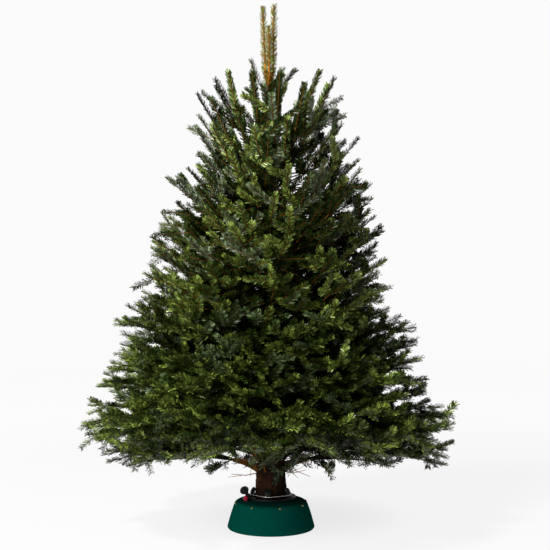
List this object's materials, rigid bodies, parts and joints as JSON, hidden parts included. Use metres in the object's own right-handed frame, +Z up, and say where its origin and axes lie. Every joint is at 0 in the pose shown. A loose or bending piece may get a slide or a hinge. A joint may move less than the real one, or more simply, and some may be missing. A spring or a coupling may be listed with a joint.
{
  "type": "cut christmas tree in stand",
  "caption": "Cut fir Christmas tree with full tiered crown and forked leader, clamped in a round green plastic stand with a foot pedal.",
  "frame": {"origin": "middle of the stand's flat underside, on the floor", "axes": "+Z up along the trunk, -Y to the front, +X to the viewer's right"},
  "size_m": [1.388, 1.4286, 1.952],
  "materials": {
    "bark": "matte",
    "young_wood": "matte",
    "needles": "matte",
    "green_plastic": "satin",
    "black_plastic": "matte",
    "red_plastic": "satin",
    "steel": "brushed"
  },
  "bodies": {
    "tree": {"trunk": "bark", "bough_right": "bark", "bough_back_right": "bark", "bough_back_left": "bark", "bough_left": "bark", "bough_upper_right": "bark", "bough_upper_left": "bark", "foliage_a1": "needles", "foliage_a2": "needles", "foliage_a3": "needles", "foliage_a4": "needles", "foliage_b1": "needles", "foliage_b2": "needles", "foliage_b3": "needles", "foliage_b4": "needles", "foliage_b5": "needles", "foliage_c1": "needles", "foliage_c2": "needles", "foliage_c3": "needles", "foliage_c4": "needles", "foliage_c5": "needles", "foliage_d1": "needles", "foliage_d2": "needles", "foliage_d3": "needles", "foliage_d4": "needles", "foliage_e1": "needles", "foliage_e2": "needles", "foliage_e3": "needles", "foliage_e4": "needles", "foliage_f1": "needles", "foliage_f2": "needles", "foliage_f3": "needles", "foliage_f4": "needles", "foliage_g1": "needles", "foliage_g2": "needles", "foliage_g3": "needles", "foliage_g4": "needles", "foliage_h1": "needles", "foliage_h2": "needles", "foliage_h3": "needles", "foliage_i1": "needles", "foliage_i2": "needles", "foliage_i3": "needles", "foliage_j1": "needles", "foliage_j2": "needles", "foliage_j3": "needles", "leader_left": "young_wood", "leader_middle": "young_wood", "leader_right": "young_wood", "stand_cover": "green_plastic", "stand_cup": "green_plastic", "clamp_ring": "black_plastic", "claw_1": "black_plastic", "claw_2": "black_plastic", "claw_3": "black_plastic", "claw_4": "black_plastic", "claw_5": "black_plastic", "clamp_cable": "steel", "lock_tab": "red_plastic"},
    "pedal": {"foot_pedal": "black_plastic"}
  },
  "joints": [
    {"name": "pedal_hinge", "type": "hinge", "parent": "tree", "child": "pedal", "pos_m": [-0.087, -0.044, 0.1245], "axis": [0, -1, 0], "range_deg": [0, 40], "stiffness_Nm_per_rad": 0.8, "springref_deg": -17.19}
  ]
}
